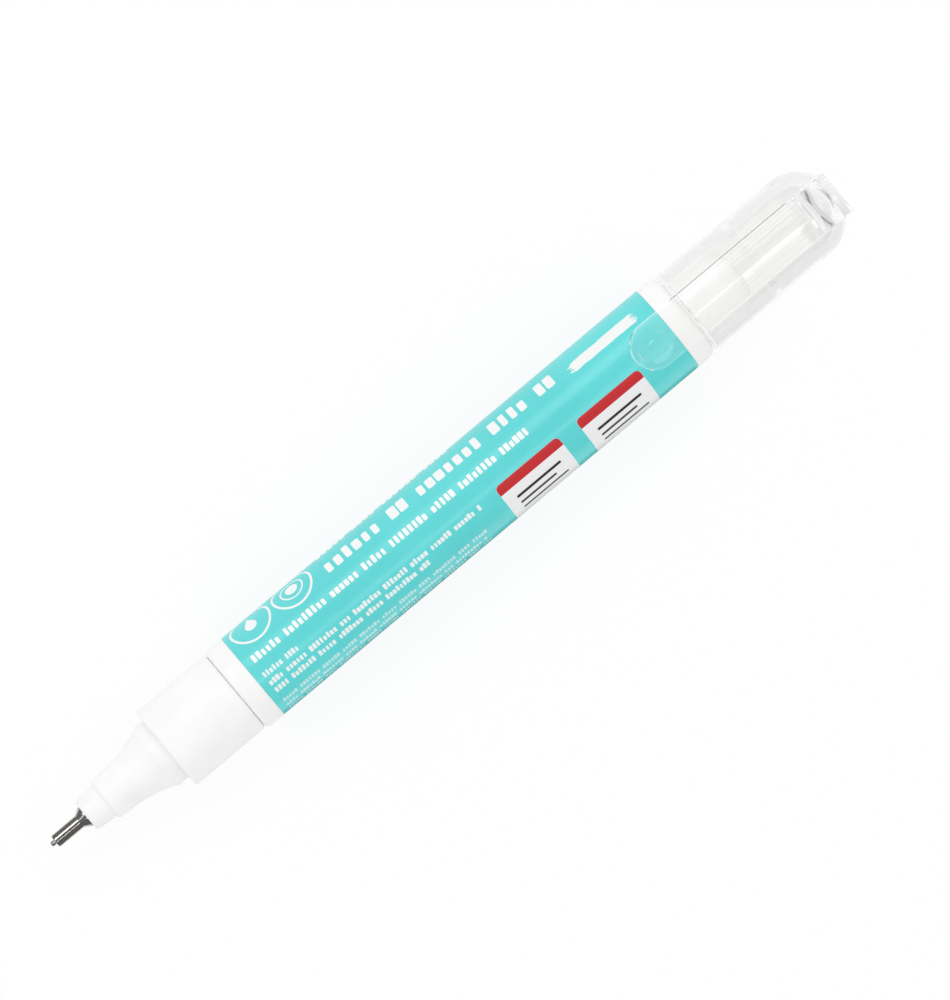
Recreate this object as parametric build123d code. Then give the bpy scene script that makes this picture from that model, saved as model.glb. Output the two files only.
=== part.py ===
from build123d import *
import math
import os

# A correction pen: a squeeze barrel with a spring valve behind a metal tip, and a clear
# cap with a pocket clip, posted on the rear of the barrel. Lengths are in millimetres.
# The pen lies along X with its tip towards -X, and the clip is on top.

# Shared allowances
overrun = 1.0
press_gap = 0.02
slide_gap = 0.05

# Barrel, a bottle that is open at the front
barrel_diameter = 15.0
barrel_length = 89.4
barrel_wall = 1.1
barrel_front_round = 0.7
shoulder_round = 1.3
stub_length = 10.3
stub_end_round = 3.6
stub_inner_chamfer = 1.5

# How far the outlines of other pieces lie inside the barrel's: the neck and the stub,
# which both take the cap, and the collar and the cap, which meet flush
seat_step = 2.0
collar_step = 0.3

# Label, a printed sleeve that lies flush in the barrel
label_thickness = 0.1
label_front_margin = 3.4
label_rear_margin = 3.5

# Front section: collar, neck and cone, with a plug that goes into the barrel
collar_length = 13.8
collar_rear_round = 0.7
collar_front_round = 0.45
neck_length = 2.2
cone_rear_step = 0.2
cone_waist_diameter = 7.3
cone_front_diameter = 7.16
cone_flare_length = 7.5
cone_land_length = 2.65
cone_front_chamfer = 0.5
plug_length = 7.0
plug_wall = 1.1
plug_lead = 0.5
bead_height = 0.2
bead_width = 1.0
bead_setback = 2.6
collar_front_wall = 1.6
funnel_length = 7.3

# Tip holder: the nose in front of the cone and the stem behind it
nose_length = 3.55
nose_rear_diameter = 6.06
nose_front_diameter = 5.5
nose_round = 0.5
stem_diameter = 4.8
stem_length = 11.95
spring_chamber_diameter = 3.2

# Metal tip
flare_length = 1.36
flare_diameter = 3.7
flare_rim = 0.18
flare_root_round = 0.3
tube_length = 4.78
tube_diameter = 2.2
tube_end_round = 0.3
shank_length = 4.2
tip_bore_diameter = 1.5
orifice_diameter = 0.92
orifice_length = 0.9
seat_length = 0.5

# Valve needle and its plunger
pin_diameter = 0.8
pin_reach = 0.75
pin_round = 0.25
valve_head_length = 1.2
needle_stem_diameter = 0.9
plunger_length = 2.0
plunger_standoff = 1.1
plunger_groove_diameter = 0.9
plunger_groove_count = 4
needle_tail_length = 1.2

# Valve spring and its retainer
spring_wire_diameter = 0.26
spring_wire_sides = 6
spring_turns = 6
retainer_length = 2.0
retainer_flange_diameter = 4.4
retainer_flange_thickness = 0.8
retainer_hole_diameter = 1.6
retainer_slot_width = 0.7

# Mixing ball
ball_diameter = 5.0
ball_rest_share = 0.3

# Cap
cap_end_wall = 3.3
cap_tip_room = 3.8
mouth_gap = 0.15
mouth_round = 0.3
mouth_chamfer = 0.5
socket_spare = 2.3
socket_step = 0.3
socket_step_length = 1.1

# Clip
clip_width = 7.4
clip_thickness = 1.25
clip_clearance = 0.75
clip_overhang = 10.85
clip_end_setback = 0.2
clip_root_length = 2.85
clip_arch_radius = 5.0
clip_end_round = 1.0
clip_edge_round = 0.3
clip_draft_degrees = 4
clip_root_bury = 0.1
rib_width = 1.35
rib_depth = 0.35
rib_setback = 1.0
rib_into_arch = 1.1
bump_height = 0.4
bump_diameter = 5.8

# Radii that more than one piece uses
barrel_radius = barrel_diameter / 2
bore_radius = barrel_radius - barrel_wall
seat_radius = barrel_radius - seat_step
stub_bore_radius = seat_radius - barrel_wall
collar_radius = barrel_radius - collar_step
plug_radius = bore_radius - slide_gap
plug_inner_radius = plug_radius - plug_wall
bead_radius = plug_radius + bead_height
stem_radius = stem_diameter / 2
stem_bore_radius = stem_radius + slide_gap
chamber_radius = spring_chamber_diameter / 2
tube_radius = tube_diameter / 2
tip_bore_radius = tip_bore_diameter / 2
orifice_radius = orifice_diameter / 2
pin_radius = pin_diameter / 2
needle_stem_radius = needle_stem_diameter / 2
cap_radius = collar_radius
socket_radius = seat_radius + slide_gap
cap_bore_radius = socket_radius - socket_step

# Stations along the axis, counted from the seam between front section and barrel
collar_front = -collar_length
neck_front = collar_front - neck_length
cone_waist = neck_front - cone_flare_length
cone_front = cone_waist - cone_land_length
nose_front = cone_front - nose_length
flare_front = nose_front - flare_length
tube_front = flare_front - tube_length
pin_front = tube_front - pin_reach
shank_rear = nose_front + shank_length
chamber_front = shank_rear + slide_gap
stem_rear = cone_front + stem_length
orifice_rear = tube_front + orifice_length
seat_rear = orifice_rear + seat_length
plunger_front = chamber_front + plunger_standoff
plunger_rear = plunger_front + plunger_length
retainer_front = stem_rear - retainer_length
label_rear = barrel_length - label_rear_margin
stub_rear = barrel_length + stub_length
cap_mouth = barrel_length + mouth_gap
cap_inner_end = cap_mouth + (collar_front - pin_front) + cap_tip_room
cap_end = cap_inner_end + cap_end_wall
dome_centre = cap_end - cap_radius
clip_tip = cap_mouth - clip_overhang
clip_end = cap_end - clip_end_setback
slot_end = clip_end - clip_root_length
arch_start = slot_end - clip_arch_radius
clip_under = barrel_radius + clip_clearance
clip_top = clip_under + clip_thickness

# The origin is under the middle of the pen, on the surface that the barrel lies on
to_rest = Pos(-(pin_front + cap_end) / 2, 0, barrel_radius)


def turned(corners):
    """A solid turned about the axis from corners of station, radius and rounding."""
    places = [(station, radius) for station, radius, rounding in corners]
    rounds = [rounding for station, radius, rounding in corners]
    return revolve(make_face(FilletPolyline(places, radius=rounds, close=True)), Axis.X)


def rod(start, end, radius):
    """A plain round bar between two stations on the axis."""
    return turned([(start, 0, 0), (end, 0, 0), (end, radius, 0), (start, radius, 0)])


def tube(start, end, outer_radius, inner_radius):
    """A plain round tube between two stations on the axis."""
    return turned([
        (start, inner_radius, 0),
        (end, inner_radius, 0),
        (end, outer_radius, 0),
        (start, outer_radius, 0),
    ])


def bead(gap):
    """The snap bead of the plug, larger by a gap where it cuts its groove."""
    middle = plug_length - bead_setback
    half = bead_width / 2 + gap
    outer = bead_radius + gap
    return turned([
        (middle - half, plug_inner_radius + gap, 0),
        (middle + half, plug_inner_radius + gap, 0),
        (middle + half, plug_radius, 0),
        (middle + half - bead_height, outer, 0),
        (middle - half + bead_height, outer, 0),
        (middle - half, plug_radius, 0),
    ])


def make_barrel():
    """The bottle, with a sunk band for the label and a groove for the plug's bead."""
    outside = turned([
        (0, 0, 0),
        (stub_rear, 0, 0),
        (stub_rear, seat_radius, stub_end_round),
        (barrel_length, seat_radius, 0),
        (barrel_length, barrel_radius, shoulder_round),
        (0, barrel_radius, barrel_front_round),
    ])
    inner_end = stub_rear - barrel_wall
    inside = turned([
        (-overrun, 0, 0),
        (inner_end, 0, 0),
        (inner_end, stub_bore_radius - stub_inner_chamfer, 0),
        (inner_end - stub_inner_chamfer, stub_bore_radius, 0),
        (barrel_length - barrel_wall, stub_bore_radius, 0),
        (barrel_length - barrel_wall, bore_radius, 0),
        (-overrun, bore_radius, 0),
    ])
    band_floor = barrel_radius - label_thickness - press_gap
    band = tube(
        label_front_margin - press_gap,
        label_rear + press_gap,
        barrel_radius + overrun,
        band_floor,
    )
    return outside - inside - band - bead(slide_gap)


def make_label():
    """The film sleeve in the barrel's sunk band."""
    return tube(label_front_margin, label_rear, barrel_radius, barrel_radius - label_thickness)


def make_cone():
    """The waisted cone: a slightly tapered land that flares towards the neck."""
    waist = (cone_waist, cone_waist_diameter / 2)
    chamfer_rear = (cone_front + cone_front_chamfer, cone_front_diameter / 2)
    chamfer_front = (cone_front, cone_front_diameter / 2 - cone_front_chamfer)
    rear = (neck_front, seat_radius - cone_rear_step)
    land = Polyline(
        (neck_front, 0), (cone_front, 0), chamfer_front, chamfer_rear, waist
    )
    flare = TangentArc(waist, rear, tangent=land % 1)
    back = Line(rear, (neck_front, 0))
    return revolve(make_face([land, flare, back]), Axis.X)


def make_front_section():
    """Collar, neck and cone round a funnel, with the plug that holds them in the barrel."""
    collar = turned([
        (collar_front, 0, 0),
        (0, 0, 0),
        (0, collar_radius, collar_rear_round),
        (collar_front, collar_radius, collar_front_round),
    ])
    neck = rod(neck_front, collar_front, seat_radius)
    plug = turned([
        (0, 0, 0),
        (plug_length, 0, 0),
        (plug_length, plug_radius - plug_lead, 0),
        (plug_length - plug_lead, plug_radius, 0),
        (0, plug_radius, 0),
    ])
    funnel_rear = collar_front + collar_front_wall
    passage = turned([
        (cone_front - overrun, 0, 0),
        (plug_length + overrun, 0, 0),
        (plug_length + overrun, plug_inner_radius, 0),
        (funnel_rear, plug_inner_radius, 0),
        (funnel_rear - funnel_length, stem_bore_radius, 0),
        (cone_front - overrun, stem_bore_radius, 0),
    ])
    return collar + neck + make_cone() + plug + bead(0) - passage


def make_tip_holder():
    """The nose and its stem, bored for the metal tip and for the spring."""
    nose = turned([
        (nose_front, 0, 0),
        (cone_front, 0, 0),
        (cone_front, nose_rear_diameter / 2, 0),
        (nose_front, nose_front_diameter / 2, nose_round),
    ])
    stem = rod(cone_front, stem_rear, stem_radius)
    shank_hole = rod(nose_front - overrun, chamber_front + overrun, tube_radius + press_gap)
    chamber = rod(chamber_front, stem_rear + overrun, chamber_radius)
    return nose + stem - shank_hole - chamber


def make_metal_tip():
    """The tube with its conical flare and a shank, bored to a seat and an orifice."""
    rim = flare_diameter / 2
    outside = turned([
        (tube_front, 0, 0),
        (shank_rear, 0, 0),
        (shank_rear, tube_radius, 0),
        (nose_front, tube_radius, 0),
        (nose_front, rim, 0),
        (nose_front - flare_rim, rim, 0),
        (flare_front, tube_radius, flare_root_round),
        (tube_front, tube_radius, tube_end_round),
    ])
    bore = turned([
        (tube_front - overrun, 0, 0),
        (shank_rear + overrun, 0, 0),
        (shank_rear + overrun, tip_bore_radius, 0),
        (seat_rear, tip_bore_radius, 0),
        (orifice_rear, orifice_radius, 0),
        (tube_front - overrun, orifice_radius, 0),
    ])
    return outside - bore


def make_valve_needle():
    """The pin, its conical valve head and the stem that carries the plunger."""
    seat_slope = (tip_bore_radius - orifice_radius) / seat_length
    head_radius = tip_bore_radius - (orifice_radius - pin_radius)
    head_front = orifice_rear + (head_radius - pin_radius) / seat_slope
    head_rear = head_front + valve_head_length
    tail = plunger_rear + needle_tail_length
    return turned([
        (pin_front, 0, 0),
        (tail, 0, 0),
        (tail, needle_stem_radius, 0),
        (head_rear, needle_stem_radius, 0),
        (head_rear, head_radius, 0),
        (head_front, head_radius, 0),
        (orifice_rear, pin_radius, 0),
        (pin_front, pin_radius, pin_round),
    ])


def make_needle_plunger():
    """The guide on the needle's stem, grooved along its sides for the fluid."""
    outer = chamber_radius - slide_gap
    guide = tube(plunger_front, plunger_rear, outer, needle_stem_radius + press_gap)
    groove = rod(plunger_front - overrun, plunger_rear + overrun, plunger_groove_diameter / 2)
    for number in range(plunger_groove_count):
        turn = 360 * number / plunger_groove_count
        guide -= Rot(turn, 0, 0) * Pos(0, outer, 0) * groove
    return guide


def helix_point(share, start, end, radius):
    """A point and its direction on the spring's helix, at a share of its length."""
    turn = 2 * math.pi * spring_turns * share
    rise = (end - start) / (2 * math.pi * spring_turns)
    point = Vector(start + (end - start) * share, radius * math.cos(turn), radius * math.sin(turn))
    along = Vector(rise, -radius * math.sin(turn), radius * math.cos(turn)).normalized()
    return point, along


def biarc(first, first_along, last, last_along):
    """Two arcs that leave one point and reach another in the given directions."""
    chord = last - first
    both = first_along + last_along
    spread = 2 * (1 - first_along.dot(last_along))
    lean = chord.dot(both)
    reach = (math.sqrt(lean * lean + spread * chord.dot(chord)) - lean) / spread
    joint = (first + last) / 2 + (first_along - last_along) * reach / 2
    opening = TangentArc(first, joint, tangent=first_along)
    return [opening, TangentArc(joint, last, tangent=opening % 1)]


def make_valve_spring():
    """The coil spring between the plunger and the retainer."""
    wire_radius = spring_wire_diameter / 2
    radius = chamber_radius - wire_radius - spring_wire_diameter
    start = plunger_rear + wire_radius + slide_gap
    end = retainer_front - wire_radius - slide_gap
    steps = spring_turns * 4
    places = [helix_point(step / steps, start, end, radius) for step in range(steps + 1)]
    route = []
    for (first, first_along), (last, last_along) in zip(places, places[1:]):
        route += biarc(first, first_along, last, last_along)
    pitch = (end - start) / spring_turns
    print("gap between turns", round(pitch - spring_wire_diameter, 3))
    first, first_along = places[0]
    section = RegularPolygon(wire_radius, spring_wire_sides)
    return sweep(Plane(first, z_dir=first_along) * section, path=Wire(route))


def make_spring_retainer():
    """The flanged bush at the stem's rear, slotted across its flange for the fluid."""
    flange_rear = stem_rear + retainer_flange_thickness
    bush = rod(retainer_front, stem_rear, chamber_radius - press_gap)
    flange = rod(stem_rear, flange_rear, retainer_flange_diameter / 2)
    hole = rod(retainer_front - overrun, flange_rear + overrun, retainer_hole_diameter / 2)
    slot = Box(retainer_flange_thickness, retainer_flange_diameter, retainer_slot_width)
    crossing = Pos(stem_rear + retainer_flange_thickness, 0, 0)
    return bush + flange - hole - crossing * slot - crossing * Rot(90, 0, 0) * slot


def make_mixing_ball():
    """The ball, lying on the bottom of the barrel's bore."""
    radius = ball_diameter / 2
    free_length = barrel_length - barrel_wall - plug_length
    place = plug_length + free_length * ball_rest_share
    return Pos(place, 0, radius + slide_gap - bore_radius) * Sphere(radius)


def make_clip():
    """The clip: a flat tongue that runs back to an arched root, with drafted sides."""
    half_width = clip_width / 2
    foot = clip_under - clip_arch_radius
    draft_spread = (clip_top - foot) * math.tan(math.radians(clip_draft_degrees))
    half_foot = half_width + draft_spread
    foot_reach = math.sqrt(cap_radius**2 - foot**2 - half_foot**2)
    side_front = clip_tip - overrun
    side_start = (side_front, clip_under)
    arch_foot = (slot_end, foot)
    arch_top = (arch_start, clip_under)
    back = FilletPolyline(
        side_start,
        (side_front, clip_top),
        (clip_end, clip_top),
        (dome_centre + foot_reach - clip_root_bury, foot),
        arch_foot,
        radius=[0, clip_end_round, 0],
    )
    arch = TangentArc(arch_foot, arch_top, tangent=(0, 1))
    side = make_face([back, arch, Line(arch_top, side_start)])
    blade = extrude(Plane.XZ * side, amount=half_foot + overrun, both=True)
    plan_rear = clip_end + draft_spread + overrun
    tongue_start = clip_tip + half_width
    plan = Pos((tongue_start + plan_rear) / 2, 0) * Rectangle(plan_rear - tongue_start, 2 * half_foot)
    plan += Pos(tongue_start, 0) * Circle(half_foot)
    height = clip_top - foot + overrun
    blade &= extrude(Pos(0, 0, foot) * plan, amount=height, taper=clip_draft_degrees)
    top_edges = blade.faces().sort_by(Axis.Z)[-1].edges()
    across = top_edges.sort_by(Axis.X)[-1]
    blade = fillet([edge for edge in top_edges if edge != across], clip_edge_round)
    rib_start = clip_tip + rib_setback
    rib_rear = arch_start + rib_into_arch
    rib = Pos((rib_start + rib_rear) / 2, 0, clip_under) * Box(
        rib_rear - rib_start, rib_width, 2 * rib_depth
    )
    return blade + rib + make_bump(tongue_start)


def make_bump(centre):
    """The low dome under the tongue's end that holds on to a pocket."""
    spread = bump_diameter / 2
    radius = (spread**2 + bump_height**2) / (2 * bump_height)
    ball = Pos(centre, 0, clip_under - bump_height + radius) * Sphere(radius)
    slab = Pos(centre, 0, clip_under) * Box(bump_diameter, bump_diameter, 2 * bump_height)
    return ball & slab


def make_cap():
    """The clear cap: a domed sleeve with a stepped socket, and its clip."""
    straight = Polyline(
        (dome_centre, cap_radius), (cap_mouth + mouth_round, cap_radius)
    )
    rim = TangentArc(
        (cap_mouth + mouth_round, cap_radius), (cap_mouth, cap_radius - mouth_round),
        tangent=(-1, 0)
    )
    floor = Polyline((cap_mouth, cap_radius - mouth_round), (cap_mouth, 0), (cap_end, 0))
    dome = TangentArc((cap_end, 0), (dome_centre, cap_radius), tangent=(0, 1))
    outside = revolve(make_face([straight, rim, floor, dome]), Axis.X)
    step_start = barrel_length + stub_length + socket_spare
    step_end = step_start + socket_step_length
    inner_centre = cap_inner_end - cap_bore_radius
    walls = Polyline(
        (inner_centre, cap_bore_radius),
        (step_end, cap_bore_radius),
        (step_start, socket_radius),
        (cap_mouth + mouth_chamfer, socket_radius),
        (cap_mouth, socket_radius + mouth_chamfer),
        (cap_mouth - overrun, socket_radius + mouth_chamfer),
        (cap_mouth - overrun, 0),
        (cap_inner_end, 0),
    )
    end = TangentArc((cap_inner_end, 0), (inner_centre, cap_bore_radius), tangent=(0, 1))
    inside = revolve(make_face([walls, end]), Axis.X)
    return outside + make_clip() - inside


pieces = {
    "barrel": make_barrel,
    "label": make_label,
    "front_section": make_front_section,
    "tip_holder": make_tip_holder,
    "metal_tip": make_metal_tip,
    "valve_needle": make_valve_needle,
    "needle_plunger": make_needle_plunger,
    "valve_spring": make_valve_spring,
    "spring_retainer": make_spring_retainer,
    "mixing_ball": make_mixing_ball,
    "cap": make_cap,
}

os.makedirs("parts", exist_ok=True)
for name, make in pieces.items():
    export_step(to_rest * make(), f"parts/{name}.step")
    print("made", name)
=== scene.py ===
# %% [markdown]
# # A correction pen
# This lesson dresses a correction pen whose solids were drawn in CAD. The frame holds one
# object for each piece, in metres, with the pen lying along X, its tip towards -X and its
# clip on top. The solids already have the real shape, so only the hidden spring gets a mesh
# of its own. The rest of the work is in the finishes, the light and the camera.

# %% Load the frame
import math

import bmesh
import bpy
from mathutils import Matrix, Vector


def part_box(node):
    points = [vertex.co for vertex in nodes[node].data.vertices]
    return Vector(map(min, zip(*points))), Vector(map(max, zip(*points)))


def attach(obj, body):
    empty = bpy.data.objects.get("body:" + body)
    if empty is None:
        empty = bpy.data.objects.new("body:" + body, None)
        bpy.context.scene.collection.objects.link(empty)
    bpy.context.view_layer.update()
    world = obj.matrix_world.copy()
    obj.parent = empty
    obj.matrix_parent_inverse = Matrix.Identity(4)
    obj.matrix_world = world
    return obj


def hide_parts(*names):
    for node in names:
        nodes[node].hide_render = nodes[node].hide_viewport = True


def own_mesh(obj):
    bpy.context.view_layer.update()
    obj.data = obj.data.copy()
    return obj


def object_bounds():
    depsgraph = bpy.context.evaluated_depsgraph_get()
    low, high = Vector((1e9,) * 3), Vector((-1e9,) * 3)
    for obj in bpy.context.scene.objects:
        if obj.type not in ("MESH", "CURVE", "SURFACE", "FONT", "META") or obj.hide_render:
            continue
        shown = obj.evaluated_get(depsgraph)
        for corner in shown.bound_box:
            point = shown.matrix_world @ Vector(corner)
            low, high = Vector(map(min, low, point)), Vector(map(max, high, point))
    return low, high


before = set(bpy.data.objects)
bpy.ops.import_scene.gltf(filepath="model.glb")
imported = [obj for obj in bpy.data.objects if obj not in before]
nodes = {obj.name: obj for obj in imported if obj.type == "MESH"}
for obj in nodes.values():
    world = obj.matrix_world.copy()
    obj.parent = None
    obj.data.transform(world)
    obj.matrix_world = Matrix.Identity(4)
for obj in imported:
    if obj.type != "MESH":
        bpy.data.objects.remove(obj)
cad_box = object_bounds()
print("pieces:", sorted(nodes))

# %% [markdown]
# ## Camera
# The photograph looks almost straight down on the pen through a long lens, with the pen
# running up to the right. A short lens close by would swell the middle of the pen, so this
# camera stands far away, which keeps the two ends the same size. It leans a little towards
# the tip and towards +Y, enough to show the rear edge of the sleeve as a shallow curve.

# %% The camera
barrel_low, barrel_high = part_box("barrel")
AXIS_HEIGHT = (barrel_low[2] + barrel_high[2]) / 2
AIM_ALONG, AIM_ASIDE = 0.00522, -0.00116
DISTANCE = 1.65
LEAN_TO_TIP, LEAN_ASIDE = math.radians(1.5), math.radians(4.2)
ROLL = math.radians(39.96)
FRAME_HEIGHT = 0.1525
SENSOR_WIDTH = 36
FARTHEST = 20

target = Vector((AIM_ALONG, AIM_ASIDE, AXIS_HEIGHT))
towards = Vector((-math.sin(LEAN_TO_TIP), math.sin(LEAN_ASIDE), 1)).normalized()
pen_axis = Vector((1, 0, 0))
level = (pen_axis - towards * pen_axis.dot(towards)).normalized()
across = towards.cross(level)
right = level * math.cos(ROLL) - across * math.sin(ROLL)
up = level * math.sin(ROLL) + across * math.cos(ROLL)

camera_data = bpy.data.cameras.new("camera")
camera_data.sensor_width = SENSOR_WIDTH
camera_data.lens = SENSOR_WIDTH * DISTANCE / FRAME_HEIGHT
camera_data.clip_end = FARTHEST
camera = bpy.data.objects.new("camera", camera_data)
turn = Matrix((right, up, towards)).transposed().to_4x4()
camera.matrix_world = Matrix.Translation(target + towards * DISTANCE) @ turn
bpy.context.collection.objects.link(camera)
bpy.context.scene.camera = camera
bpy.context.scene.view_settings.view_transform = "Standard"
print("lens", round(camera_data.lens, 1), "mm")

# %% [markdown]
# ## Helpers for node trees
# Every finish below is a small network of nodes. Linking each socket by hand would bury
# the idea in long lines, so a few helpers keep the networks readable: they feed a socket
# from a value or from another socket, make a Math node, join masks and start a material.

# %% Node helpers
def feed(tree, socket, value):
    """Put a constant into a socket, or link another socket to it."""
    if isinstance(value, bpy.types.NodeSocket):
        tree.links.new(value, socket)
    else:
        socket.default_value = value


def calc(tree, operation, *values):
    """A Math node, given as its operation and its inputs."""
    node = tree.nodes.new("ShaderNodeMath")
    node.operation = operation
    for socket, value in zip(node.inputs, values):
        feed(tree, socket, value)
    return node.outputs[0]


def product(tree, *values):
    """All the values multiplied, so that masks meet where each of them is one."""
    result = values[0]
    for value in values[1:]:
        result = calc(tree, "MULTIPLY", result, value)
    return result


def largest(tree, *values):
    """The largest of the values, which joins masks."""
    result = values[0]
    for value in values[1:]:
        result = calc(tree, "MAXIMUM", result, value)
    return result


def new_material(name):
    """An empty material with its tree and its Principled shader."""
    material = bpy.data.materials.new(name)
    material.use_nodes = True
    return material, material.node_tree, material.node_tree.nodes["Principled BSDF"]


# %% [markdown]
# ## White paper
# The pen lies on a sweep of white paper. Plain white paper comes out grey under this light,
# and more light would bleach the pen, so a share of the paper glows white for the camera, in
# reflections and through the clear cap. The other share stays an ordinary white surface,
# which keeps the pen's soft shadow.

# %% The floor
FLOOR_REACH = 3.0


def flat_sheet(name, corners):
    """A flat four-sided sheet from its corners, marked as part of the stage."""
    mesh = bpy.data.meshes.new(name)
    shape = bmesh.new()
    shape.faces.new([shape.verts.new(corner) for corner in corners])
    shape.to_mesh(mesh)
    shape.free()
    sheet = bpy.data.objects.new(name, mesh)
    bpy.context.collection.objects.link(sheet)
    return sheet


floor = flat_sheet("floor", [
    (-FLOOR_REACH, -FLOOR_REACH, 0),
    (FLOOR_REACH, -FLOOR_REACH, 0),
    (FLOOR_REACH, FLOOR_REACH, 0),
    (-FLOOR_REACH, FLOOR_REACH, 0),
])
paper, tree, shader = new_material("white_paper_sweep")
shader.inputs["Base Color"].default_value = (0.94, 0.94, 0.94, 1)
shader.inputs["Roughness"].default_value = 0.9
shader.inputs["Specular IOR Level"].default_value = 0
floor.data.materials.append(paper)
print("floor", FLOOR_REACH * 2, "m across")

# %% Which rays see white
def seen_through(tree):
    """One for rays that come through clear plastic, also when they were mirrored in it."""
    path = tree.nodes.new("ShaderNodeLightPath").outputs
    later = calc(tree, "GREATER_THAN", path["Ray Depth"], 1)
    return largest(tree, path["Is Transmission Ray"], product(tree, path["Is Glossy Ray"], later))


def seen_directly(tree, mirrored_share, through_share):
    """One for rays from the camera, a share in reflections and one through clear plastic."""
    path = tree.nodes.new("ShaderNodeLightPath").outputs
    mirrored = calc(tree, "MULTIPLY", path["Is Glossy Ray"], mirrored_share)
    through = calc(tree, "MULTIPLY", seen_through(tree), through_share)
    return largest(tree, path["Is Camera Ray"], mirrored, through)


# %% [markdown]
# ## Shade under the clear cap
# A clear cap gathers light under its middle and leaves shade beside its walls and under
# its thick end. Traced honestly that pattern would take thousands of bent rays, so the
# light goes straight through the cap, and the pattern is painted softly on the paper for
# rays that come through clear plastic. The side away from the softbox gets more shade, and
# behind the white stub a faint shade lies under the clip.

# %% Where the shade lies
WALL_SHADE = ((0.0055, 0.0095), (0.016, 0.06))
END_SHADE = ((-0.0095, -0.0055), (-0.0015, 0.007))
STUB_FADE = (-0.0017, -0.0001)
CLIP_EDGE = (0.003, 0.0045)
FAR_SIDE = (0.0, -0.003)


def smooth_step(tree, value, low, high):
    """Zero before the low value and one past the high one, with a soft rise between."""
    node = tree.nodes.new("ShaderNodeMapRange")
    node.interpolation_type = "SMOOTHSTEP"
    feed(tree, node.inputs["Value"], value)
    feed(tree, node.inputs["From Min"], low)
    feed(tree, node.inputs["From Max"], high)
    return node.outputs["Result"]


def soft_band(tree, value, rise, fall):
    """A mask that rises softly from zero to one and falls softly back."""
    return calc(tree, "SUBTRACT", smooth_step(tree, value, *rise), smooth_step(tree, value, *fall))


lying = tree.nodes.new("ShaderNodeSeparateXYZ")
feed(tree, lying.inputs[0], tree.nodes.new("ShaderNodeTexCoord").outputs["Object"])
off_axis = calc(tree, "ABSOLUTE", lying.outputs["Y"])
past_stub = calc(tree, "SUBTRACT", lying.outputs["X"], barrel_high[0])
past_cap = calc(tree, "SUBTRACT", lying.outputs["X"], cad_box[1][0])
right_side = smooth_step(tree, lying.outputs["Y"], *FAR_SIDE)
by_walls = soft_band(tree, off_axis, *WALL_SHADE)
by_end = soft_band(tree, past_cap, *END_SHADE)
under_clip = calc(tree, "SUBTRACT", 1, smooth_step(tree, off_axis, *CLIP_EDGE))
behind_stub = product(tree, smooth_step(tree, past_stub, *STUB_FADE), under_clip)
print("shade beside the walls, under the end and behind the stub")

# %% The white of the floor
WHITE_SHARE = 0.86
MIRRORED_SHARE = 0.3
THROUGH_SHARE = 0.9
# On the softbox's side and on the far side
WALL_DEPTHS = (0.17, 0.27)
END_DEPTHS = (0.14, 0.28)
HOLLOW_DEPTHS = (0.14, 0.06)
MIDDLE_DEPTH = 0.06


def shaded(tree, mask, left, right):
    """A mask times one depth on the softbox's side and another on the far side."""
    return product(tree, mask, calc(tree, "MULTIPLY_ADD", right_side, right - left, left))


walls = shaded(tree, by_walls, *WALL_DEPTHS)
thick_end = shaded(tree, by_end, *END_DEPTHS)
hollow = shaded(tree, behind_stub, *HOLLOW_DEPTHS)
depth = largest(tree, walls, thick_end, hollow, MIDDLE_DEPTH)
glow = tree.nodes.new("ShaderNodeEmission")
feed(tree, glow.inputs["Strength"], calc(tree, "SUBTRACT", 1, product(tree, depth, seen_through(tree))))
direct = seen_directly(tree, MIRRORED_SHARE, THROUGH_SHARE)
mix = tree.nodes.new("ShaderNodeMixShader")
feed(tree, mix.inputs[0], calc(tree, "MULTIPLY", direct, WHITE_SHARE))
feed(tree, mix.inputs[1], shader.outputs[0])
feed(tree, mix.inputs[2], glow.outputs[0])
feed(tree, tree.nodes["Material Output"].inputs[0], mix.outputs[0])
print("white to the camera by", WHITE_SHARE)

# %% [markdown]
# ## Sky and lamps
# The light in the photograph is soft and comes from all round. Small lamps would throw hard
# shadows, so a pale sky fills the room, one broad softbox leans to the +Y side and a slim
# strip to the other. The sky shows as plain white to the camera, in reflections and through
# the clear cap, as the paper does.

# %% The sky
SKY_FILL = 0.9
world = bpy.data.worlds.new("white_room")
world.use_nodes = True
bpy.context.scene.world = world
tree = world.node_tree
fill = tree.nodes["Background"]
fill.inputs[0].default_value = (1, 1, 1, 1)
fill.inputs[1].default_value = SKY_FILL
backdrop = tree.nodes.new("ShaderNodeBackground")
backdrop.inputs[0].default_value = (1, 1, 1, 1)
mix = tree.nodes.new("ShaderNodeMixShader")
feed(tree, mix.inputs[0], seen_directly(tree, 1.0, 1.0))
feed(tree, mix.inputs[1], fill.outputs[0])
feed(tree, mix.inputs[2], backdrop.outputs[0])
feed(tree, tree.nodes["World Output"].inputs[0], mix.outputs[0])
print("sky fill", SKY_FILL)

# %% The softbox and the strip
def area_lamp(name, lean, distance, length, width, power):
    """A lamp along the pen that leans from overhead towards +Y, facing the pen."""
    lamp = bpy.data.lights.new(name, "AREA")
    lamp.shape = "RECTANGLE"
    lamp.size = length
    lamp.size_y = width
    lamp.energy = power
    holder = bpy.data.objects.new(name, lamp)
    tilt = math.radians(lean)
    stand = Vector((0, math.sin(tilt), math.cos(tilt))) * distance
    holder.matrix_world = Matrix.Translation(stand) @ Matrix.Rotation(-tilt, 4, "X")
    bpy.context.collection.objects.link(holder)
    print(name, "leans", lean, "degrees,", power, "W")


area_lamp("softbox", lean=36, distance=0.9, length=1.1, width=0.3, power=1.5)
area_lamp("strip", lean=-15, distance=0.9, length=1.1, width=0.03, power=0.55)

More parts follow.
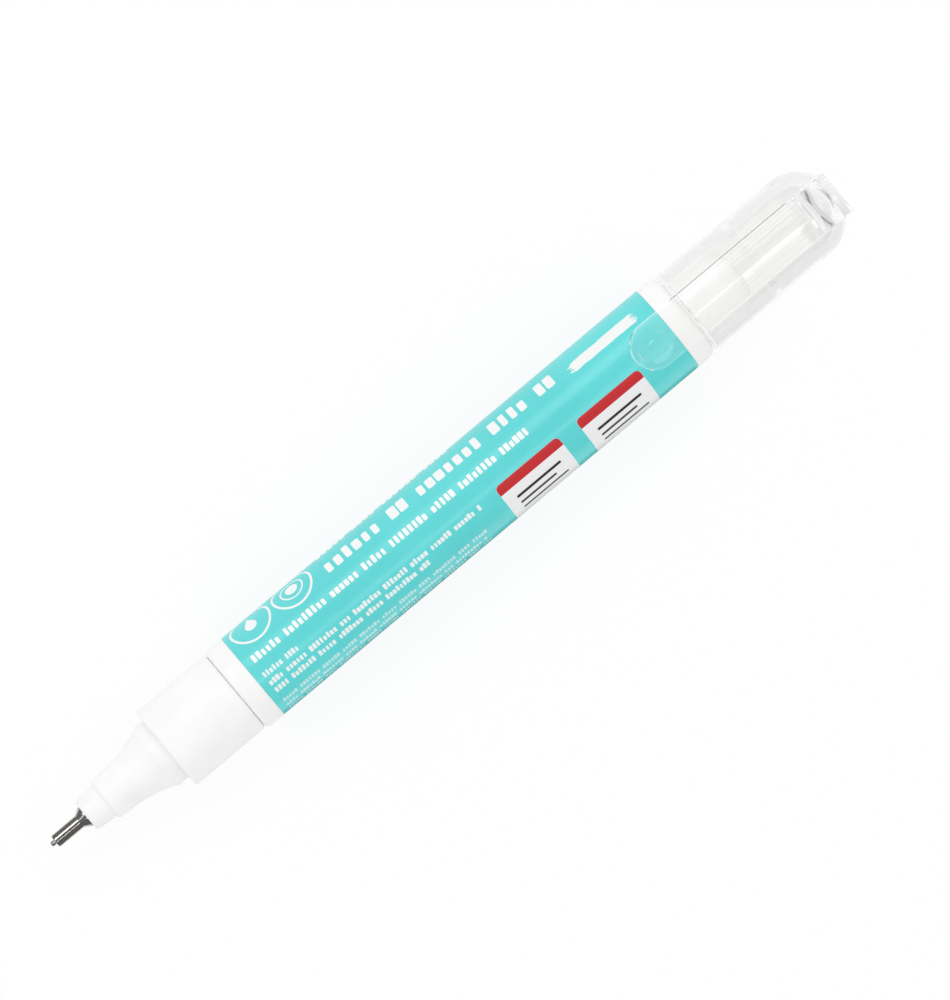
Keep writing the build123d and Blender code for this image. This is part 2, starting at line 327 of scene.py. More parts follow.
# %% [markdown]
# ## Cards beside the pen
# Bright metal, glossy film and clear plastic show what stands round them. In a studio, dark
# cards draw dark lines along them, and a bright card lightens a side. Lamps alone would
# leave all of them pale. Here the cards are sheets that only mirrored rays meet, so they
# throw no shadow and no straight look finds them, not even one through the cap. In clear
# plastic a ray turns several times before it leaves, so a card also says from which turn to
# which it is met.

# %% How a card is made
# Halfway between two counts
HALF = 0.5


def studio_card(name, corners, shade, first_turn=1, last_turn=1):
    """A card that only mirrored rays meet, from a first turn of a ray to a last one."""
    card = flat_sheet(name, corners)
    card.visible_camera = False
    card.visible_diffuse = False
    card.visible_shadow = False
    card.visible_transmission = last_turn > 1
    material, tree, shader = new_material(name + "_reflected_glow")
    shader.inputs["Base Color"].default_value = (0, 0, 0, 1)
    shader.inputs["Specular IOR Level"].default_value = 0
    # The card glows with its shade under any light, and only mirrored rays see it, so its dark lines
    # and its bright side are painted reflections.
    shader.inputs["Emission Color"].default_value = (shade, shade, shade, 1)
    shader.inputs["Emission Strength"].default_value = 1
    path = tree.nodes.new("ShaderNodeLightPath").outputs
    mirrored = calc(tree, "GREATER_THAN", path["Glossy Depth"], HALF)
    begun = calc(tree, "GREATER_THAN", path["Ray Depth"], first_turn - HALF)
    lasting = calc(tree, "LESS_THAN", path["Ray Depth"], last_turn + HALF)
    feed(tree, shader.inputs["Alpha"], product(tree, mirrored, begun, lasting))
    card.data.materials.append(material)
    print(name, "with shade", shade)


# %% Cards along the pen
# Each card lies between two leans from overhead towards +Y. One bright card, on the left of
# the sleeve, hides the dark side card from it, and a narrow one draws the clip's dark edge.
TIP_RUN = 0.1
RIM_RUN, MOUTH_RUN = 0.003, 0.0035
END_RUN, ARCH_RUN = 0.02, 0.005
SIDE_RUN = 1.4

label_low, label_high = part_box("label")
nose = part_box("tip_holder")[0][0]
ahead = nose - TIP_RUN
front, rear = label_low[0], label_high[0]
rim, mouth = rear + RIM_RUN, rear + MOUTH_RUN
arch, behind = cad_box[1][0] - ARCH_RUN, cad_box[1][0] + END_RUN

# Name, two leans in degrees, distance from the axis, start, end, shade, first and last turn
CARDS = (
    ("tip_card_above", -13, 17, 0.012, ahead, nose, 0.05, 1, 1),
    ("tip_card_left", 45, 122, 0.012, ahead, nose, 0.2, 1, 1),
    ("tip_card_right", -115, -17, 0.012, ahead, nose, 0.16, 1, 1),
    ("sleeve_card_above", -10, 24, 0.12, front, rim, 0.05, 1, 1),
    ("clip_card_above", -10, 24, 0.12, rim, behind, 0.3, 1, 1),
    ("sleeve_card_low", -128, -95, 0.0115, front, rear, 0.1, 1, 1),
    ("sleeve_card_left", 58, 94, 0.04, front, rear, 0.95, 1, 1),
    ("side_card_left", 56, 90, 0.7, -SIDE_RUN, SIDE_RUN, 0.18, 1, 1),
    ("side_card_right", -90, -22, 0.7, -SIDE_RUN, SIDE_RUN, 0.1, 1, 1),
    ("clip_card", -44, -22, 0.03, mouth, arch, 0.1, 4, 4),
)


def leaning(station, lean, reach):
    """A point at a station along the pen, at a lean and a distance from the axis."""
    tilt = math.radians(lean)
    return (station, math.sin(tilt) * reach, AXIS_HEIGHT + math.cos(tilt) * reach)


for name, first, last, reach, start, end, shade, *turns in CARDS:
    stations = ((start, first), (end, first), (end, last), (start, last))
    studio_card(name, [leaning(*station, reach) for station in stations], shade, *turns)

# %% Cards behind the pen
# Two small slanted cards draw the dark ticks in the clip's arch, on a wide pale one.
TICK_GAP, WIDE_GAP = 0.022, 0.03
TICK_LOW, TICK_HIGH = 0.0195, 0.0285
TICK_SHADE, WIDE_SHADE = 0.3, 0.72
WIDE_HALF, WIDE_HEIGHT = 0.02, 0.05
END_TURNS = (3, 8)
# Name, the two sides along Y, and by how much one rises and the other sinks
TICKS = (
    ("end_card_left", -0.0011, 0.0014, -0.009),
    ("end_card_right", -0.0056, -0.0035, 0.009),
)

beyond = cad_box[1][0] + TICK_GAP
for name, near_side, far_side, lift in TICKS:
    corners = [
        (beyond, near_side, TICK_LOW - lift),
        (beyond, far_side, TICK_LOW + lift),
        (beyond, far_side, TICK_HIGH + lift),
        (beyond, near_side, TICK_HIGH - lift),
    ]
    studio_card(name, corners, TICK_SHADE, *END_TURNS)
beyond = cad_box[1][0] + WIDE_GAP
corners = [
    (beyond, -WIDE_HALF, 0),
    (beyond, WIDE_HALF, 0),
    (beyond, WIDE_HALF, WIDE_HEIGHT),
    (beyond, -WIDE_HALF, WIDE_HEIGHT),
]
studio_card("end_card_wide", corners, WIDE_SHADE, *END_TURNS)

# %% [markdown]
# ## Skin of moulded plastic
# A moulded surface is never perfectly even. It copies the fine spark grain of the mould,
# its gloss changes from place to place, and slow clouds show how the melt flowed in. The
# same three effects, stronger or weaker, suit the white, the clear and the film, so they
# are one node group with its own values in each material.

# %% Groups, noise and relief
RELIEF_DEPTH = 0.00002
# Nearly all of a noise lies between these two values
NOISE_LOW, NOISE_HIGH = 0.3, 0.7


def new_group(name, inputs, outputs):
    """A shader node group with named sockets, and what its own nodes read and fill."""
    group = bpy.data.node_groups.new(name, "ShaderNodeTree")
    for label, kind, value in inputs:
        socket = group.interface.new_socket(label, in_out="INPUT", socket_type=kind)
        socket.default_value = value
    for label, kind in outputs:
        group.interface.new_socket(label, in_out="OUTPUT", socket_type=kind)
    given = group.nodes.new("NodeGroupInput").outputs
    result = group.nodes.new("NodeGroupOutput").inputs
    return group, given, result


def place(tree, group, **values):
    """A group placed in a tree, with its inputs given by name (spaces as underscores)."""
    node = tree.nodes.new("ShaderNodeGroup")
    node.node_tree = group
    for label, value in values.items():
        feed(tree, node.inputs[label.replace("_", " ")], value)
    return node.outputs


def noise(tree, vector, scale, detail):
    """A noise texture from zero to one."""
    node = tree.nodes.new("ShaderNodeTexNoise")
    feed(tree, node.inputs["Vector"], vector)
    feed(tree, node.inputs["Scale"], scale)
    node.inputs["Detail"].default_value = detail
    return node.outputs["Fac"]


def spread(tree, value, low, high):
    """The middle part of a noise, spread between two values."""
    node = tree.nodes.new("ShaderNodeMapRange")
    feed(tree, node.inputs["Value"], value)
    feed(tree, node.inputs["From Min"], NOISE_LOW)
    feed(tree, node.inputs["From Max"], NOISE_HIGH)
    feed(tree, node.inputs["To Min"], low)
    feed(tree, node.inputs["To Max"], high)
    return node.outputs["Result"]


def relief(tree, height, strength):
    """A normal that follows a height."""
    node = tree.nodes.new("ShaderNodeBump")
    feed(tree, node.inputs["Strength"], strength)
    node.inputs["Distance"].default_value = RELIEF_DEPTH
    feed(tree, node.inputs["Height"], height)
    return node.outputs["Normal"]


# %% The moulded skin group
FLOAT, VECTOR = "NodeSocketFloat", "NodeSocketVector"
CLOUD_SHARE = 0.08
GRAIN_DETAIL, CLOUD_DETAIL = 3, 2
skin, given, result = new_group(
    "moulded_skin",
    [
        ("Grain", FLOAT, 900.0),
        ("Gloss Low", FLOAT, 0.3),
        ("Gloss High", FLOAT, 0.4),
        ("Relief", FLOAT, 0.1),
    ],
    [("Roughness", FLOAT), ("Cloud", FLOAT), ("Normal", VECTOR)],
)
spot = skin.nodes.new("ShaderNodeTexCoord").outputs["Object"]
grain = noise(skin, spot, given["Grain"], GRAIN_DETAIL)
cloud = noise(skin, spot, calc(skin, "MULTIPLY", given["Grain"], CLOUD_SHARE), CLOUD_DETAIL)
feed(skin, result["Roughness"], spread(skin, grain, given["Gloss Low"], given["Gloss High"]))
feed(skin, result["Cloud"], spread(skin, cloud, 0.0, 1.0))
feed(skin, result["Normal"], relief(skin, grain, given["Relief"]))
print("group", skin.name, "with", len(skin.nodes), "nodes")

# %% [markdown]
# ## White plastics
# The barrel is soft polyethylene, which a hand can squeeze. It has a satin gloss, and a
# little light goes into it and comes out again, so it gets some subsurface. The front
# section and the nose are harder polypropylene with a finer, drier skin. The guide and
# the bush of the valve are acetal in its natural ivory. One plain colour each would look
# like card, so the colour drifts a little with the skin's clouds.

# %% A moulded plastic
def blend(tree, share, first, second):
    """A colour that goes from the first to the second by a share."""
    node = tree.nodes.new("ShaderNodeMix")
    node.data_type = "RGBA"
    feed(tree, node.inputs[0], share)
    feed(tree, node.inputs[6], first)
    feed(tree, node.inputs[7], second)
    return node.outputs[2]


def moulded(name, dark, light, **values):
    """A plastic whose colour drifts between two tones, with the moulded skin."""
    material, tree, shader = new_material(name)
    surface = place(tree, skin, **values)
    feed(tree, shader.inputs["Base Color"], blend(tree, surface["Cloud"], (*dark, 1), (*light, 1)))
    feed(tree, shader.inputs["Roughness"], surface["Roughness"])
    feed(tree, shader.inputs["Normal"], surface["Normal"])
    return material, tree, shader


def dress(piece, material):
    """Give a CAD node one material."""
    nodes[piece].data.materials.clear()
    nodes[piece].data.materials.append(material)


# %% The white and natural plastics
squeeze, _, shader = moulded(
    "white_squeeze_plastic", dark=(0.885, 0.885, 0.88), light=(0.91, 0.91, 0.905),
    Grain=1400.0, Gloss_Low=0.36, Gloss_High=0.46, Relief=0.12,
)
shader.inputs["Subsurface Weight"].default_value = 0.12
shader.inputs["Subsurface Radius"].default_value = (1, 1, 0.95)
shader.inputs["Subsurface Scale"].default_value = 0.0008
dress("barrel", squeeze)

hard, _, _ = moulded(
    "white_hard_plastic", dark=(0.88, 0.88, 0.88), light=(0.91, 0.91, 0.91),
    Grain=2600.0, Gloss_Low=0.4, Gloss_High=0.5, Relief=0.2,
)
for piece in ("front_section", "tip_holder"):
    dress(piece, hard)

natural, _, _ = moulded(
    "natural_plastic", dark=(0.74, 0.72, 0.66), light=(0.82, 0.8, 0.75),
    Grain=3000.0, Gloss_Low=0.32, Gloss_High=0.45, Relief=0.15,
)
for piece in ("needle_plunger", "spring_retainer"):
    dress(piece, natural)
print("white and natural plastics on the mouldings")

# %% [markdown]
# ## Turned and drawn metal
# The tip is turned on a lathe and nickel plated, so fine rings run round it. The needle,
# the spring wire and the ball are bright steel with finer marks. Cut grooves would cost
# thousands of faces. Rings are noise that changes along the pen alone, so one group with
# one coordinate makes them all.

# %% The turned marks group
RING_DETAIL = 4
marks, given, result = new_group(
    "turned_marks",
    [
        ("Rings", FLOAT, 9000.0),
        ("Gloss Low", FLOAT, 0.12),
        ("Gloss High", FLOAT, 0.25),
        ("Relief", FLOAT, 0.1),
    ],
    [("Roughness", FLOAT), ("Ring", FLOAT), ("Normal", VECTOR)],
)
parts = marks.nodes.new("ShaderNodeSeparateXYZ")
feed(marks, parts.inputs[0], marks.nodes.new("ShaderNodeTexCoord").outputs["Object"])
rings = marks.nodes.new("ShaderNodeTexNoise")
rings.noise_dimensions = "1D"
rings.inputs["Detail"].default_value = RING_DETAIL
feed(marks, rings.inputs["W"], parts.outputs["X"])
feed(marks, rings.inputs["Scale"], given["Rings"])
ring = rings.outputs["Fac"]
feed(marks, result["Roughness"], spread(marks, ring, given["Gloss Low"], given["Gloss High"]))
feed(marks, result["Ring"], spread(marks, ring, 0.0, 1.0))
feed(marks, result["Normal"], relief(marks, ring, given["Relief"]))
print("group", marks.name, "with", len(marks.nodes), "nodes")

# %% Nickel and steel
def turned_metal(name, dark, light, **values):
    """A metal whose tone and gloss follow its rings."""
    material, tree, shader = new_material(name)
    surface = place(tree, marks, **values)
    feed(tree, shader.inputs["Base Color"], blend(tree, surface["Ring"], (*dark, 1), (*light, 1)))
    feed(tree, shader.inputs["Roughness"], surface["Roughness"])
    feed(tree, shader.inputs["Normal"], surface["Normal"])
    shader.inputs["Metallic"].default_value = 1
    return material


nickel = turned_metal(
    "nickel_plate", dark=(0.5, 0.485, 0.46), light=(0.66, 0.645, 0.62),
    Rings=9000.0, Gloss_Low=0.1, Gloss_High=0.2, Relief=0.08,
)
dress("metal_tip", nickel)
steel = turned_metal(
    "steel", dark=(0.5, 0.5, 0.5), light=(0.62, 0.62, 0.615),
    Rings=14000.0, Gloss_Low=0.14, Gloss_High=0.26, Relief=0.05,
)
for piece in ("valve_needle", "valve_spring", "mixing_ball"):
    dress(piece, steel)
print("nickel on the tip, steel on the needle, spring and ball")

# %% [markdown]
# ## The spring behind the needle
# When the tip is pressed on paper, the needle goes in and its guide shortens a coil
# spring. A stiff solid would be cut by the guide, so here a coil of the same size and
# place stands for it. A bevelled curve would also make a coil, but a mesh is surer to be
# pressed together with a joint, so a ring of points is carried along a helix.

# %% The wire of the coil
SPRING_TURNS = 6
WIRE_RADIUS = 0.00013
RINGS_TO_A_TURN = 32
WIRE_SIDES = 10

coil_low, coil_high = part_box("valve_spring")
COIL_LENGTH = coil_high[0] - coil_low[0]
COIL_RADIUS = (coil_high[1] - coil_low[1]) / 2 - WIRE_RADIUS
COIL_RUN = COIL_LENGTH - 2 * WIRE_RADIUS
RISE = COIL_RUN / (math.tau * SPRING_TURNS)


def wire_ring(share):
    """The points round the wire at a share of the coil's length."""
    turn = math.tau * SPRING_TURNS * share
    outward = Vector((0, math.cos(turn), math.sin(turn)))
    heading = Vector((RISE, -COIL_RADIUS * outward.z, COIL_RADIUS * outward.y)).normalized()
    sideways = heading.cross(outward)
    station = coil_low[0] + WIRE_RADIUS + COIL_RUN * share
    centre = Vector((station, 0, AXIS_HEIGHT)) + outward * COIL_RADIUS
    points = []
    for side in range(WIRE_SIDES):
        angle = math.tau * side / WIRE_SIDES
        points.append(centre + (outward * math.cos(angle) + sideways * math.sin(angle)) * WIRE_RADIUS)
    return points


ring_count = SPRING_TURNS * RINGS_TO_A_TURN
shape = bmesh.new()
wire = []
for step in range(ring_count + 1):
    wire.append([shape.verts.new(point) for point in wire_ring(step / ring_count)])
for near_ring, far_ring in zip(wire, wire[1:]):
    for side in range(WIRE_SIDES):
        after = (side + 1) % WIRE_SIDES
        corners = (near_ring[side], near_ring[after], far_ring[after], far_ring[side])
        shape.faces.new(corners).smooth = True
for end_ring in (wire[0], wire[-1]):
    shape.faces.new(end_ring)
bmesh.ops.recalc_face_normals(shape, faces=shape.faces)
print("wire with", len(shape.faces), "faces")

# %% The coil
MM = 1000
mesh = bpy.data.meshes.new("spring_coil")
shape.to_mesh(mesh)
shape.free()
coil = bpy.data.objects.new("spring_coil", mesh)
bpy.context.collection.objects.link(coil)
coil.data.materials.append(steel)
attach(coil, "pen")
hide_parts("valve_spring")

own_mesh(coil)

# %% [markdown]
# ## Places on the sleeve
# The printed film is wrapped round the barrel, so its artwork is laid out flat: how far
# along the sleeve, and how far round it from the top. Two sums turn a point on the pen
# into those two lengths in millimetres, and everything printed is drawn with them. An
# image texture would need an unwrapped mesh; distances need nothing and stay sharp.

# %% Flat coordinates on the film
FILM_LENGTH = (label_high[0] - label_low[0]) * MM
FILM_RADIUS = (label_high[1] - label_low[1]) / 2 * MM

film, film_tree, film_shader = new_material("teal_film")
parts = film_tree.nodes.new("ShaderNodeSeparateXYZ")
feed(film_tree, parts.inputs[0], film_tree.nodes.new("ShaderNodeTexCoord").outputs["Object"])
from_front = calc(film_tree, "SUBTRACT", parts.outputs["X"], label_low[0])
along = calc(film_tree, "MULTIPLY", from_front, MM)
over_axis = calc(film_tree, "SUBTRACT", parts.outputs["Z"], AXIS_HEIGHT)
to_right = calc(film_tree, "MULTIPLY", parts.outputs["Y"], -1)
angle = calc(film_tree, "ARCTAN2", to_right, over_axis)
arc = calc(film_tree, "MULTIPLY", angle, FILM_RADIUS)
print("film", round(FILM_LENGTH, 1), "mm long,", round(FILM_RADIUS * math.tau, 1), "mm round")

# %% [markdown]
# ## Shapes in ink
# Each printed shape is a distance that is negative inside it. A soft step turns the
# distance into a mask, with an edge as crisp as screen print. A rounded box serves for
# words and pages, a circle for rings and dots.

# %% Distances and ink
INK_EDGE = 0.08


def ink(tree, distance):
    """One inside a shape and zero outside, with a slightly soft edge."""
    node = tree.nodes.new("ShaderNodeMapRange")
    feed(tree, node.inputs["Value"], distance)
    feed(tree, node.inputs["From Min"], INK_EDGE / 2)
    feed(tree, node.inputs["From Max"], -INK_EDGE / 2)
    return node.outputs["Result"]


def length_of(tree, first, second):
    """The length of two sides at a right angle."""
    squares = calc(tree, "ADD", product(tree, first, first), product(tree, second, second))
    return calc(tree, "SQRT", squares)


def rounded_box(tree, room_along, room_across, rounding):
    """The distance to a box from the room left to its sides, with rounded corners."""
    over_along = calc(tree, "MAXIMUM", calc(tree, "SUBTRACT", rounding, room_along), 0)
    over_across = calc(tree, "MAXIMUM", calc(tree, "SUBTRACT", rounding, room_across), 0)
    return calc(tree, "SUBTRACT", length_of(tree, over_along, over_across), rounding)


def room_within(tree, value, middle, half):
    """How much room is left from a place to the end of a stretch about a middle."""
    offset = calc(tree, "ABSOLUTE", calc(tree, "SUBTRACT", value, middle))
    return calc(tree, "SUBTRACT", half, offset)


print("ink edge", INK_EDGE, "mm")

# %% [markdown]
# ## Rows of print
# A sleeve like this carries rows of small print. Here each row is a run of small blocks
# in uneven words, so it reads as print from a step away and says nothing from close by.
# A row is cut into equal cells. A random number for each cell sets how wide and how tall
# its block is, and the cells where two words part stay empty. Many rows share one group.

# %% The print row group
CELL_SHARE = 0.7


def chance(tree, first, second):
    """A random number from zero to one that belongs to two numbers."""
    key = tree.nodes.new("ShaderNodeCombineXYZ")
    feed(tree, key.inputs[0], first)
    feed(tree, key.inputs[1], second)
    node = tree.nodes.new("ShaderNodeTexWhiteNoise")
    node.noise_dimensions = "2D"
    feed(tree, node.inputs["Vector"], key.outputs[0])
    return node.outputs["Value"]


row_group, given, result = new_group(
    "print_row",
    [
        ("Along", FLOAT, 0.0),
        ("Arc", FLOAT, 0.0),
        ("Start", FLOAT, 0.0),
        ("End", FLOAT, 10.0),
        ("Middle", FLOAT, 0.0),
        ("Height", FLOAT, 1.0),
        ("Letters", FLOAT, 7.0),
        ("Seed", FLOAT, 0.0),
    ],
    [("Ink", FLOAT)],
)
pitch = calc(row_group, "MULTIPLY", given["Height"], CELL_SHARE)
from_start = calc(row_group, "SUBTRACT", given["Along"], given["Start"])
cells_along = calc(row_group, "DIVIDE", from_start, pitch)
cell = calc(row_group, "FLOOR", cells_along)
row_length = calc(row_group, "SUBTRACT", given["End"], given["Start"])
cell_count = calc(row_group, "FLOOR", calc(row_group, "DIVIDE", row_length, pitch))
print("cells are", CELL_SHARE, "of a row's height")

# %% Where words part
PARTING_SHIFT = 0.5
FIRST_PARTING = 0.3
word = calc(row_group, "FLOOR", calc(row_group, "DIVIDE", cell, given["Letters"]))
inside = calc(row_group, "GREATER_THAN", cell, -HALF)
inside = product(row_group, inside, calc(row_group, "LESS_THAN", cell, cell_count))
for next_words in (0, 1, 2):
    number = calc(row_group, "ADD", word, next_words)
    shift = calc(row_group, "MULTIPLY", chance(row_group, number, given["Seed"]), PARTING_SHIFT)
    shift = calc(row_group, "SUBTRACT", shift, PARTING_SHIFT / 2 + FIRST_PARTING)
    parting = product(row_group, calc(row_group, "ADD", number, shift), given["Letters"])
    from_parting = calc(row_group, "SUBTRACT", cell, calc(row_group, "ROUND", parting))
    away = calc(row_group, "ABSOLUTE", from_parting)
    inside = product(row_group, inside, calc(row_group, "GREATER_THAN", away, HALF))
print("partings shift by up to", PARTING_SHIFT, "of a word")

# %% The blocks of a row
THIN_SHARE, THICK_SHARE = 0.28, 0.43
SHORT_SHARE = 0.78
TALL_CHANCE = 0.55
ROUNDING_SHARE = 0.12
NEXT_DRAW = 0.5
luck = chance(row_group, cell, calc(row_group, "ADD", given["Seed"], NEXT_DRAW))
thick = calc(row_group, "MULTIPLY_ADD", luck, THICK_SHARE - THIN_SHARE, THIN_SHARE)
in_cell = calc(row_group, "FRACT", cells_along)
off_middle = calc(row_group, "ABSOLUTE", calc(row_group, "SUBTRACT", in_cell, HALF))
room = product(row_group, calc(row_group, "SUBTRACT", thick, off_middle), pitch)
short = calc(row_group, "GREATER_THAN", chance(row_group, cell, given["Seed"]), TALL_CHANCE)
tall = calc(row_group, "MULTIPLY_ADD", short, SHORT_SHARE - 1, 1)
half_height = product(row_group, given["Height"], tall, HALF)
foot = calc(row_group, "MULTIPLY_ADD", given["Height"], HALF, given["Middle"])
over_foot = calc(row_group, "SUBTRACT", foot, given["Arc"])
room_across = room_within(row_group, over_foot, half_height, half_height)
rounding = calc(row_group, "MULTIPLY", given["Height"], ROUNDING_SHARE)
block = ink(row_group, rounded_box(row_group, room, room_across, rounding))
feed(row_group, result["Ink"], product(row_group, block, inside))
print("group", row_group.name, "with", len(row_group.nodes), "nodes")

# %% The rows of the sleeve
# Start and end along the sleeve, middle round it, height, letters to a word, strength
ROWS = [
    (18.6, 64.8, -6.75, 2.6, 6, 1.0),
    (18.6, 45.2, -11.6, 1.7, 6, 1.0),
    (1.4, 56.5, -2.5, 1.3, 8, 1.0),
    (1.2, 8.6, 0.4, 0.9, 9, 0.9),
    (1.2, 43.5, 1.98, 0.95, 7, 0.95),
    (1.2, 32.0, 3.54, 0.95, 7, 0.95),
    (1.2, 42.0, 6.1, 0.8, 7, 0.55),
    (1.2, 41.0, 7.6, 0.8, 7, 0.55),
    (1.2, 42.0, 9.1, 0.8, 7, 0.55),
    (1.2, 40.0, 10.6, 0.8, 7, 0.55),
    (1.2, 33.0, 12.1, 0.8, 7, 0.55),
]
white_masks = []
for number, (start, end, middle, height, letters, strength) in enumerate(ROWS):
    row = place(
        film_tree, row_group, Along=along, Arc=arc, Start=start, End=end,
        Middle=middle, Height=height, Letters=letters, Seed=float(number),
    )
    white_masks.append(product(film_tree, row["Ink"], strength))
print(len(ROWS), "rows of print")

# %% [markdown]
# ## Marks on the sleeve
# Two ringed marks stand at the front: a drop for the fluid and a ball for the stirring.
# Towards the rear lies a plain stroke with ragged ends, as the pen would draw it, and two
# small note pages in white, red and black fill the lower side. Flat pieces of mesh would
# have to be bent round the film, so these marks are distances too.

# %% Circles and drops
DROP_SLOPE = math.radians(28)
DROP_SINK_SHARE = 0.45


def from_centre(place_along, place_arc):
    """Offsets along and up from a centre on the film."""
    offset = calc(film_tree, "SUBTRACT", along, place_along)
    rise = calc(film_tree, "SUBTRACT", place_arc, arc)
    return offset, rise


def disc(offset, rise, radius):
    """The distance to a filled circle."""
    return calc(film_tree, "SUBTRACT", length_of(film_tree, offset, rise), radius)


def ring_line(offset, rise, radius, stroke):
    """The distance to a circle drawn with a stroke."""
    edge = calc(film_tree, "ABSOLUTE", disc(offset, rise, radius))
    return calc(film_tree, "SUBTRACT", edge, stroke / 2)


def drop_mark(offset, rise, radius):
    """A round drop that runs up to a point, as two slopes that touch its circle."""
    low_rise = calc(film_tree, "ADD", rise, radius * DROP_SINK_SHARE)
    round_part = ink(film_tree, disc(offset, low_rise, radius))
    aside = calc(film_tree, "MULTIPLY", calc(film_tree, "ABSOLUTE", offset), math.cos(DROP_SLOPE))
    upward = calc(film_tree, "MULTIPLY", low_rise, math.sin(DROP_SLOPE))
    sides = calc(film_tree, "SUBTRACT", calc(film_tree, "ADD", aside, upward), radius)
    above = calc(film_tree, "SUBTRACT", radius * math.sin(DROP_SLOPE), low_rise)
    point = product(film_tree, ink(film_tree, sides), ink(film_tree, above))
    return largest(film_tree, round_part, point)


# %% The ringed marks
RING_RADIUS, RING_STROKE = 3.6, 0.38
RING_ARC = -8.25
DROP_PLACE, DROP_RADIUS = 4.75, 1.05
BALL_PLACE, BALL_RADIUS = 12.95, 1.1
ECHO_RADIUS, ECHO_STROKE = 2.0, 0.26
drop_centre = from_centre(DROP_PLACE, RING_ARC)
ball_centre = from_centre(BALL_PLACE, RING_ARC)
for centre in (drop_centre, ball_centre):
    white_masks.append(ink(film_tree, ring_line(*centre, RING_RADIUS, RING_STROKE)))
white_masks.append(drop_mark(*drop_centre, DROP_RADIUS))
white_masks.append(ink(film_tree, disc(*ball_centre, BALL_RADIUS)))
white_masks.append(ink(film_tree, ring_line(*ball_centre, ECHO_RADIUS, ECHO_STROKE)))
print("two ringed marks")

# %% The stroke
STROKE_PLACE, STROKE_ARC = 73.3, -5.7
STROKE_LENGTH, STROKE_HEIGHT = 12.6, 2.0
STROKE_ROUNDING = STROKE_HEIGHT / 3
STREAK_ALONG, STREAK_ACROSS = 0.35, 3.2
STREAK_DETAIL = 2
NOISE_MIDDLE = 0.5
RAGGED_ENDS, RAGGED_SIDES = 3.6, 0.45
offset, rise = from_centre(STROKE_PLACE, STROKE_ARC)
streaks = film_tree.nodes.new("ShaderNodeCombineXYZ")
feed(film_tree, streaks.inputs[0], calc(film_tree, "MULTIPLY", along, STREAK_ALONG))
feed(film_tree, streaks.inputs[1], calc(film_tree, "MULTIPLY", arc, STREAK_ACROSS))
streak = noise(film_tree, streaks.outputs[0], 1.0, STREAK_DETAIL)
ragged = calc(film_tree, "SUBTRACT", streak, NOISE_MIDDLE)
room = room_within(film_tree, offset, 0, STROKE_LENGTH / 2)
room = calc(film_tree, "MULTIPLY_ADD", ragged, RAGGED_ENDS, room)
room_across = room_within(film_tree, rise, 0, STROKE_HEIGHT / 2)
room_across = calc(film_tree, "MULTIPLY_ADD", ragged, RAGGED_SIDES, room_across)
white_masks.append(ink(film_tree, rounded_box(film_tree, room, room_across, STROKE_ROUNDING)))
print("a stroke", STROKE_LENGTH, "mm long")

# %% The note pages
PAGE_WIDTH, PAGE_HEIGHT = 12.4, 9.6
PAGE_ROUNDING = 0.8
PAGE_HEAD = 1.7
PAGE_ARC = 6.0
PAGE_PLACES = (52.6, 68.6)
LINE_START = -4.3
LINE_HALF, LINE_ROUNDING = 0.26, 0.2
# How far each line lies below the middle of its page, and half its length
PAGE_LINES = ((-1.1, 4.3), (0.4, 3.5), (1.9, 4.4))
pages, heads, lines = [], [], []
for place_along in PAGE_PLACES:
    offset, rise = from_centre(place_along, PAGE_ARC)
    room = room_within(film_tree, offset, 0, PAGE_WIDTH / 2)
    room_across = room_within(film_tree, rise, 0, PAGE_HEIGHT / 2)
    page = ink(film_tree, rounded_box(film_tree, room, room_across, PAGE_ROUNDING))
    below_head = calc(film_tree, "SUBTRACT", PAGE_HEIGHT / 2 - PAGE_HEAD, rise)
    pages.append(page)
    heads.append(product(film_tree, page, ink(film_tree, below_head)))
    for drop, half_length in PAGE_LINES:
        line_room = room_within(film_tree, offset, LINE_START + half_length, half_length)
        line_across = room_within(film_tree, rise, -drop, LINE_HALF)
        lines.append(ink(film_tree, rounded_box(film_tree, line_room, line_across, LINE_ROUNDING)))
print(len(pages), "note pages with", len(lines), "lines")

# %% [markdown]
# ## The teal film
# The sleeve is glossy film printed in teal, with white ink on it. The ink lies a little
# duller than the bare film, the teal drifts by a few percent as flat printed areas do,
# and the film's overlap shows as a fine line along the underside. Each ink is laid over
# the one before, as on a press.

# %% Colours of the film
TEAL_DARK = (0.106, 0.63, 0.632, 1)
TEAL_LIGHT = (0.124, 0.68, 0.682, 1)
INK_WHITE = (0.85, 0.87, 0.868, 1)
PAGE_WHITE = (0.84, 0.84, 0.845, 1)
HEAD_RED = (0.56, 0.015, 0.02, 1)
LINE_BLACK = (0.02, 0.02, 0.022, 1)
SEAM_TEAL = (0.06, 0.42, 0.42, 1)
SEAM_WIDTH = 0.16
INK_DULLNESS = 0.12

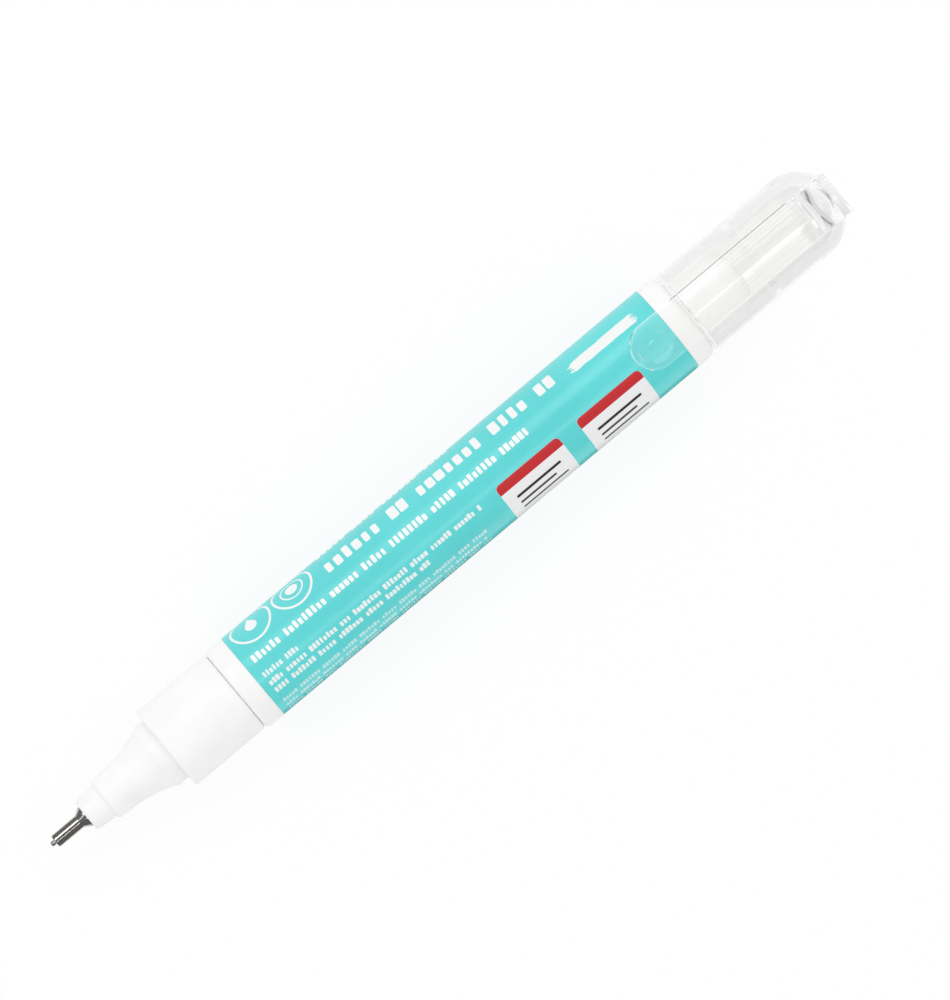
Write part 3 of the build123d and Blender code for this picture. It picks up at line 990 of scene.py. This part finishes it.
surface = place(film_tree, skin, Grain=700.0, Gloss_Low=0.2, Gloss_High=0.28, Relief=0.06)
from_top = calc(film_tree, "ABSOLUTE", arc)
to_seam = calc(film_tree, "SUBTRACT", FILM_RADIUS * math.pi - SEAM_WIDTH, from_top)
white_ink = largest(film_tree, *white_masks)
page_white = largest(film_tree, *pages)
colour = blend(film_tree, surface["Cloud"], TEAL_DARK, TEAL_LIGHT)
colour = blend(film_tree, ink(film_tree, to_seam), colour, SEAM_TEAL)
colour = blend(film_tree, white_ink, colour, INK_WHITE)
colour = blend(film_tree, page_white, colour, PAGE_WHITE)
colour = blend(film_tree, largest(film_tree, *heads), colour, HEAD_RED)
colour = blend(film_tree, largest(film_tree, *lines), colour, LINE_BLACK)
duller = calc(film_tree, "MULTIPLY", largest(film_tree, white_ink, page_white), INK_DULLNESS)
feed(film_tree, film_shader.inputs["Base Color"], colour)
feed(film_tree, film_shader.inputs["Roughness"], calc(film_tree, "ADD", surface["Roughness"], duller))
feed(film_tree, film_shader.inputs["Normal"], surface["Normal"])
dress("label", film)
print("film with", len(film_tree.nodes), "nodes")

# %% [markdown]
# ## The clear cap
# The cap is moulded in clear polystyrene, with its clip in one piece. Glass would do, but
# real mouldings are a little grey and wavy, so the moulded skin moves its gloss and its
# normal. Shadow rays and diffuse rays go straight through, because bent light would take
# far too long to find the stub behind the wall. So does a ray that has been through many
# walls or was mirrored more than twice, which would otherwise end in black.

# %% Clear plastic
MOST_BENDS = 8
MOST_REFLECTIONS = 2
clear, tree, shader = moulded(
    "clear_plastic", dark=(0.975, 0.975, 0.968), light=(0.994, 0.994, 0.989),
    Grain=520.0, Gloss_Low=0.015, Gloss_High=0.05, Relief=0.25,
)
shader.inputs["IOR"].default_value = 1.58
shader.inputs["Transmission Weight"].default_value = 1
see_through = tree.nodes.new("ShaderNodeBsdfTransparent")
path = tree.nodes.new("ShaderNodeLightPath").outputs
bent = calc(tree, "GREATER_THAN", path["Ray Depth"], MOST_BENDS)
trapped = calc(tree, "GREATER_THAN", path["Glossy Depth"], MOST_REFLECTIONS)
straight = largest(tree, path["Is Shadow Ray"], path["Is Diffuse Ray"], bent, trapped)
mix = tree.nodes.new("ShaderNodeMixShader")
feed(tree, mix.inputs[0], straight)
feed(tree, mix.inputs[1], shader.outputs[0])
feed(tree, mix.inputs[2], see_through.outputs[0])
feed(tree, tree.nodes["Material Output"].inputs[0], mix.outputs[0])
dress("cap", clear)
print("clear plastic on the cap")
